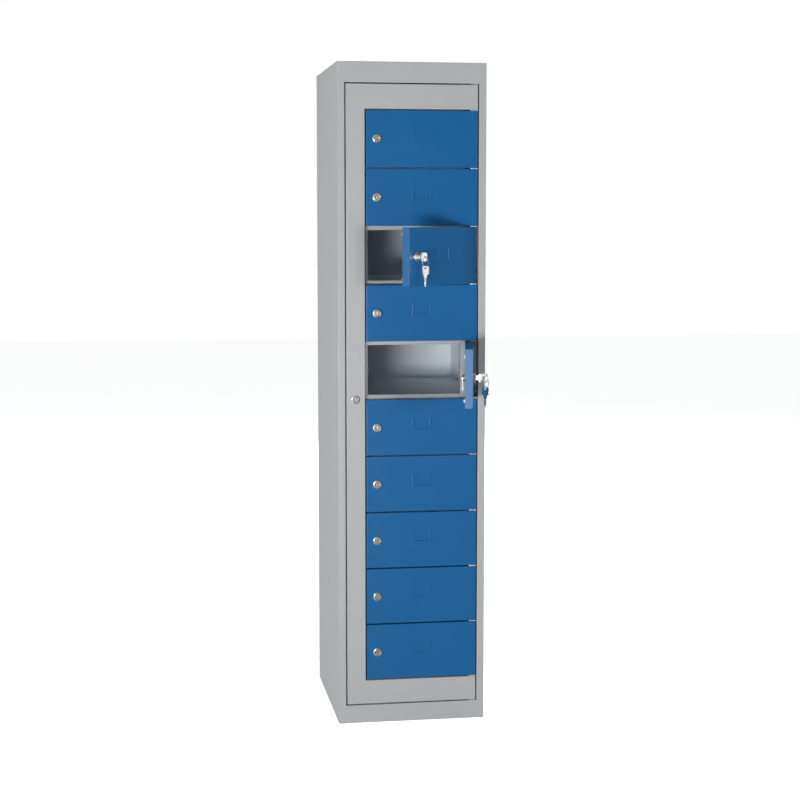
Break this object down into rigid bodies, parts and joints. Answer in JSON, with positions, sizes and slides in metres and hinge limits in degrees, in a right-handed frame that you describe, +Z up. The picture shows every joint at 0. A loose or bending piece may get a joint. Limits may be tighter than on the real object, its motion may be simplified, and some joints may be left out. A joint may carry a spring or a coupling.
{
  "type": "distribution locker cabinet",
  "caption": "Tall steel distribution locker: a lockable service door carries a column of small hinged doors, each with a cylinder lock and label holder, over shelved compartments.",
  "frame": {"origin": "middle of the footprint, on the floor under the bottom panel", "axes": "+X to the right seen from the front, +Y from the doors to the back, +Z up"},
  "size_m": [0.405, 0.7798, 1.8],
  "materials": {
    "grey_powder_coat": "fine-textured light grey powder coat",
    "blue_powder_coat": "smooth gentian-blue powder coat",
    "shelf_powder_coat": "light grey powder coat, scuffed by use",
    "bright_zinc": "bright zinc plate",
    "nickel": "satin nickel plate",
    "key_steel": "nickel-plated stamped steel",
    "white_plastic": "moulded white plastic"
  },
  "bodies": {
    "carcass": {"side_panel_left": "grey_powder_coat", "side_panel_right": "grey_powder_coat", "back_panel": "grey_powder_coat", "roof_panel": "grey_powder_coat", "bottom_panel": "grey_powder_coat", "shelves": "shelf_powder_coat", "main_door_pivots": "grey_powder_coat"},
    "main_door": {"main_door_frame": "grey_powder_coat", "hinge_stile": "grey_powder_coat", "main_door_crossbars": "grey_powder_coat", "small_door_pivots": "bright_zinc", "main_lock_case": "nickel", "rod_guides": "bright_zinc"},
    "main_lock": {"main_lock_plug": "nickel"},
    "rod_upper": {"lock_rod_upper": "bright_zinc"},
    "rod_lower": {"lock_rod_lower": "bright_zinc"},
    "door_1": {"door_panel_1": "blue_powder_coat", "lock_case_1": "nickel", "buffers_1": "white_plastic"},
    "lock_1": {"lock_plug_1": "nickel"},
    "door_2": {"door_panel_2": "blue_powder_coat", "lock_case_2": "nickel", "buffers_2": "white_plastic"},
    "lock_2": {"lock_plug_2": "nickel"},
    "door_3": {"door_panel_3": "blue_powder_coat", "lock_case_3": "nickel", "buffers_3": "white_plastic"},
    "lock_3": {"lock_plug_3": "nickel"},
    "key_3": {"key_3": "key_steel"},
    "ring_3": {"key_ring_3": "key_steel"},
    "door_4": {"door_panel_4": "blue_powder_coat", "lock_case_4": "nickel", "buffers_4": "white_plastic"},
    "lock_4": {"lock_plug_4": "nickel"},
    "door_5": {"door_panel_5": "blue_powder_coat", "lock_case_5": "nickel", "buffers_5": "white_plastic"},
    "lock_5": {"lock_plug_5": "nickel"},
    "key_5": {"key_5": "key_steel"},
    "ring_5": {"key_ring_5": "key_steel"},
    "door_6": {"door_panel_6": "blue_powder_coat", "lock_case_6": "nickel", "buffers_6": "white_plastic"},
    "lock_6": {"lock_plug_6": "nickel"},
    "door_7": {"door_panel_7": "blue_powder_coat", "lock_case_7": "nickel", "buffers_7": "white_plastic"},
    "lock_7": {"lock_plug_7": "nickel"},
    "door_8": {"door_panel_8": "blue_powder_coat", "lock_case_8": "nickel", "buffers_8": "white_plastic"},
    "lock_8": {"lock_plug_8": "nickel"},
    "door_9": {"door_panel_9": "blue_powder_coat", "lock_case_9": "nickel", "buffers_9": "white_plastic"},
    "lock_9": {"lock_plug_9": "nickel"},
    "door_10": {"door_panel_10": "blue_powder_coat", "lock_case_10": "nickel", "buffers_10": "white_plastic"},
    "lock_10": {"lock_plug_10": "nickel"}
  },
  "joints": [
    {"name": "main_door_hinge", "type": "hinge", "parent": "carcass", "child": "main_door", "pos_m": [0.175, -0.245, 0.9], "axis": [0, 0, 1], "range_deg": [0, 90]},
    {"name": "main_lock_turn", "type": "hinge", "parent": "main_door", "child": "main_lock", "pos_m": [-0.1555, -0.25, 0.8975], "axis": [0, -1, 0], "range_deg": [-90, 0]},
    {"name": "rod_upper_slide", "type": "slide", "parent": "main_door", "child": "rod_upper", "axis": [0, 0, 1], "range_m": [0, 0.01838]},
    {"name": "rod_lower_slide", "type": "slide", "parent": "main_door", "child": "rod_lower", "axis": [0, 0, -1], "range_m": [0, 0.0184]},
    {"name": "door_1_hinge", "type": "hinge", "parent": "main_door", "child": "door_1", "pos_m": [0.164, -0.245, 1.5968], "axis": [0, 0, 1], "range_deg": [0, 88]},
    {"name": "lock_1_turn", "type": "hinge", "parent": "door_1", "child": "lock_1", "pos_m": [-0.096, -0.25, 1.5968], "axis": [0, -1, 0], "range_deg": [-90, 0]},
    {"name": "door_2_hinge", "type": "hinge", "parent": "main_door", "child": "door_2", "pos_m": [0.164, -0.245, 1.4414], "axis": [0, 0, 1], "range_deg": [0, 88]},
    {"name": "lock_2_turn", "type": "hinge", "parent": "door_2", "child": "lock_2", "pos_m": [-0.096, -0.25, 1.4414], "axis": [0, -1, 0], "range_deg": [-90, 0]},
    {"name": "door_3_hinge", "type": "hinge", "parent": "main_door", "child": "door_3", "pos_m": [0.164, -0.245, 1.286], "axis": [0, 0, 1], "range_deg": [-44, 44]},
    {"name": "lock_3_turn", "type": "hinge", "parent": "door_3", "child": "lock_3", "pos_m": [-0.01955, -0.42921, 1.286], "axis": [0.6947, -0.7193, 0], "range_deg": [-90, 0]},
    {"name": "key_3_pull", "type": "slide", "parent": "lock_3", "child": "key_3", "axis": [0.6947, -0.7193, 0], "range_m": [0, 0.03]},
    {"name": "ring_3_swing", "type": "hinge", "parent": "key_3", "child": "ring_3", "pos_m": [0.00163, -0.45115, 1.286], "axis": [0.7193, 0.6947, 0], "range_deg": [-25, 15]},
    {"name": "door_4_hinge", "type": "hinge", "parent": "main_door", "child": "door_4", "pos_m": [0.164, -0.245, 1.1306], "axis": [0, 0, 1], "range_deg": [0, 88]},
    {"name": "lock_4_turn", "type": "hinge", "parent": "door_4", "child": "lock_4", "pos_m": [-0.096, -0.25, 1.1306], "axis": [0, -1, 0], "range_deg": [-90, 0]},
    {"name": "door_5_hinge", "type": "hinge", "parent": "main_door", "child": "door_5", "pos_m": [0.164, -0.245, 0.9752], "axis": [0, 0, 1], "range_deg": [-79, 9]},
    {"name": "lock_5_turn", "type": "hinge", "parent": "door_5", "child": "lock_5", "pos_m": [0.1193, -0.50118, 0.9752], "axis": [0.9816, -0.1908, 0], "range_deg": [-90, 0]},
    {"name": "key_5_pull", "type": "slide", "parent": "lock_5", "child": "key_5", "axis": [0.9816, -0.1908, 0], "range_m": [0, 0.03]},
    {"name": "ring_5_swing", "type": "hinge", "parent": "key_5", "child": "ring_5", "pos_m": [0.14924, -0.507, 0.9752], "axis": [0.1908, 0.9816, 0], "range_deg": [-25, 15]},
    {"name": "door_6_hinge", "type": "hinge", "parent": "main_door", "child": "door_6", "pos_m": [0.164, -0.245, 0.8198], "axis": [0, 0, 1], "range_deg": [0, 88]},
    {"name": "lock_6_turn", "type": "hinge", "parent": "door_6", "child": "lock_6", "pos_m": [-0.096, -0.25, 0.8198], "axis": [0, -1, 0], "range_deg": [-90, 0]},
    {"name": "door_7_hinge", "type": "hinge", "parent": "main_door", "child": "door_7", "pos_m": [0.164, -0.245, 0.6644], "axis": [0, 0, 1], "range_deg": [0, 88]},
    {"name": "lock_7_turn", "type": "hinge", "parent": "door_7", "child": "lock_7", "pos_m": [-0.096, -0.25, 0.6644], "axis": [0, -1, 0], "range_deg": [-90, 0]},
    {"name": "door_8_hinge", "type": "hinge", "parent": "main_door", "child": "door_8", "pos_m": [0.164, -0.245, 0.509], "axis": [0, 0, 1], "range_deg": [0, 88]},
    {"name": "lock_8_turn", "type": "hinge", "parent": "door_8", "child": "lock_8", "pos_m": [-0.096, -0.25, 0.509], "axis": [0, -1, 0], "range_deg": [-90, 0]},
    {"name": "door_9_hinge", "type": "hinge", "parent": "main_door", "child": "door_9", "pos_m": [0.164, -0.245, 0.3536], "axis": [0, 0, 1], "range_deg": [0, 88]},
    {"name": "lock_9_turn", "type": "hinge", "parent": "door_9", "child": "lock_9", "pos_m": [-0.096, -0.25, 0.3536], "axis": [0, -1, 0], "range_deg": [-90, 0]},
    {"name": "door_10_hinge", "type": "hinge", "parent": "main_door", "child": "door_10", "pos_m": [0.164, -0.245, 0.1982], "axis": [0, 0, 1], "range_deg": [0, 88]},
    {"name": "lock_10_turn", "type": "hinge", "parent": "door_10", "child": "lock_10", "pos_m": [-0.096, -0.25, 0.1982], "axis": [0, -1, 0], "range_deg": [-90, 0]}
  ],
  "couplings": [
    {"joint": "main_lock_turn", "follows": "rod_upper_slide", "rad_per_m": -85.44},
    {"joint": "rod_lower_slide", "follows": "rod_upper_slide", "ratio": 1}
  ]
}
